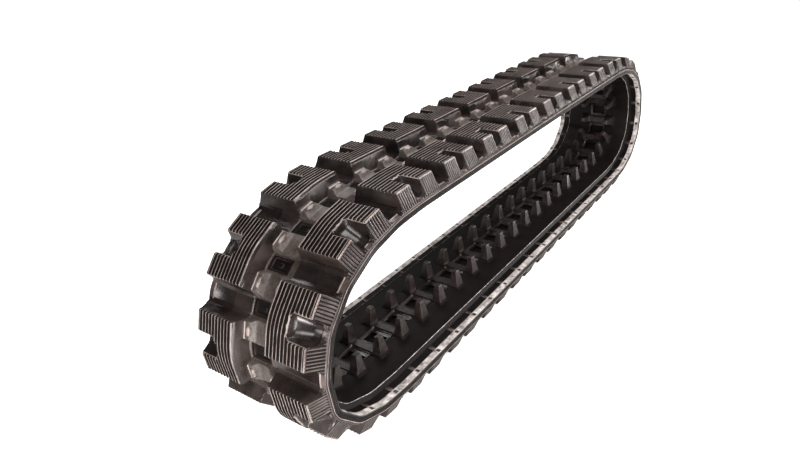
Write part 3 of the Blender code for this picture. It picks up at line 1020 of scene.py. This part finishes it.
# White paper. To the camera alone it glows up to white away from the track, and a little less
# near it, where the soft shadow lies.
white_paper, tree, shader = new_material("white_paper")
shader.inputs["Base Color"].default_value = linear("#f4f4f4")
shader.inputs["Roughness"].default_value = 0.9
path = add(tree, "ShaderNodeLightPath")
spot = add(tree, "ShaderNodeTexCoord")
links = [("Vector", spot.outputs["Object"])]
distance = add(tree, "ShaderNodeVectorMath", links, operation="LENGTH")
level = add(
    tree,
    "ShaderNodeMapRange",
    [("Value", distance.outputs["Value"])],
    inputs={"From Min": 1.2, "From Max": 3.0, "To Min": 0.86, "To Max": 1.0},
)
links = [(0, level.outputs["Result"]), (1, path.outputs["Is Camera Ray"])]
lift = add(tree, "ShaderNodeMath", links, operation="MULTIPLY")
shader.inputs["Emission Color"].default_value = (1, 1, 1, 1)
tree.links.new(lift.outputs["Value"], shader.inputs["Emission Strength"])
mesh.materials.append(white_paper)

world = bpy.data.worlds.new("studio")
bpy.context.scene.world = world
world.use_nodes = True
tree = world.node_tree
back = tree.nodes["Background"]
path = add(tree, "ShaderNodeLightPath")
level = add(
    tree,
    "ShaderNodeMapRange",
    [("Value", path.outputs["Is Camera Ray"])],
    inputs={"To Min": 0.07, "To Max": 1.0},
)
back.inputs["Color"].default_value = (1, 1, 1, 1)
tree.links.new(level.outputs["Result"], back.inputs["Strength"])

# Lamps, as name, place, the place it points at, size and power.
LAMP_COLOUR = (1.0, 0.95, 0.93)
for name, place, target, size, power in (
    ("overhead_softbox", (-0.6, -1.1, 2.3), (0, 0, 0.3), (1.6, 0.9), 38),
    ("far_overhead_softbox", (0.5, 0.1, 2.0), (0.5, 0, 0.5), (1.6, 0.5), 30),
    ("side_softbox", (0.8, -1.8, 1.3), (0.3, -0.1, 0.45), (1.8, 0.5), 30),
    ("right_softbox", (2.5, -1.8, 0.5), (0.1, 0, 0.35), (1.6, 0.45), 42),
    ("back_softbox", (0.6, 1.6, 2.2), (0, 0, 0.3), (1.6, 0.6), 16),
    ("front_softbox", (-2.2, -1.7, 0.42), (-0.8, 0, 0.28), (1.3, 0.6), 32),
    ("left_softbox", (-3.0, 0.3, 0.8), (-0.8, 0, 0.28), (0.7, 0.4), 15),
    ("floor_strip", (-1.4, -0.8, 0.03), (-0.95, 0, 0.3), (0.8, 0.4), 5),
    ("scoop_strip", (-1.40, -0.20, 0.03), (-0.96, -0.12, 0.26), (0.24, 0.22), 4.5),
    ("high_strip", (-2.1, -0.55, 1.35), (-0.9, -0.1, 0.4), (0.5, 0.5), 9),
):
    light = bpy.data.lights.new(name, "AREA")
    light.shape = "RECTANGLE"
    light.size, light.size_y = size
    light.energy = power
    light.color = LAMP_COLOUR
    lamp = bpy.data.objects.new(name, light)
    lamp.visible_camera = False
    bpy.context.scene.collection.objects.link(lamp)
    lamp.location = place
    lamp.rotation_euler = (Vector(target) - Vector(place)).to_track_quat("-Z", "Y").to_euler()


# Camera
# Stands where the photograph was taken from, off the near end of the loop. It looks at AIM from
# DISTANCE metres, and its angles are in radians.
VIEW_SIDE = 0.64265
VIEW_DOWN = 0.44883
VIEW_ROLL = -0.06744
DISTANCE = 1.50714
AIM = Vector((-0.4732, 0, 0.31202))
FOCAL_PIXELS = 630.90867
PICTURE_PIXELS = 800
lens = bpy.data.cameras.new("camera")
lens.sensor_width = 36
lens.lens = FOCAL_PIXELS / PICTURE_PIXELS * lens.sensor_width
lens.clip_start, lens.clip_end = 0.01, 100
camera = bpy.data.objects.new("camera", lens)
bpy.context.scene.collection.objects.link(camera)
level_way = math.cos(VIEW_DOWN)
back_way = Vector(
    (-math.cos(VIEW_SIDE) * level_way, -math.sin(VIEW_SIDE) * level_way, math.sin(VIEW_DOWN))
)
level_right = (-back_way).cross(Vector((0, 0, 1))).normalized()
level_up = level_right.cross(-back_way)
right = level_right * math.cos(VIEW_ROLL) + level_up * math.sin(VIEW_ROLL)
up = level_up * math.cos(VIEW_ROLL) - level_right * math.sin(VIEW_ROLL)
camera.matrix_world = Matrix(
    (
        (right.x, up.x, back_way.x, AIM.x + DISTANCE * back_way.x),
        (right.y, up.y, back_way.y, AIM.y + DISTANCE * back_way.y),
        (right.z, up.z, back_way.z, AIM.z + DISTANCE * back_way.z),
        (0, 0, 0, 1),
    )
)
bpy.context.scene.camera = camera
bpy.context.scene.view_settings.view_transform = "Standard"
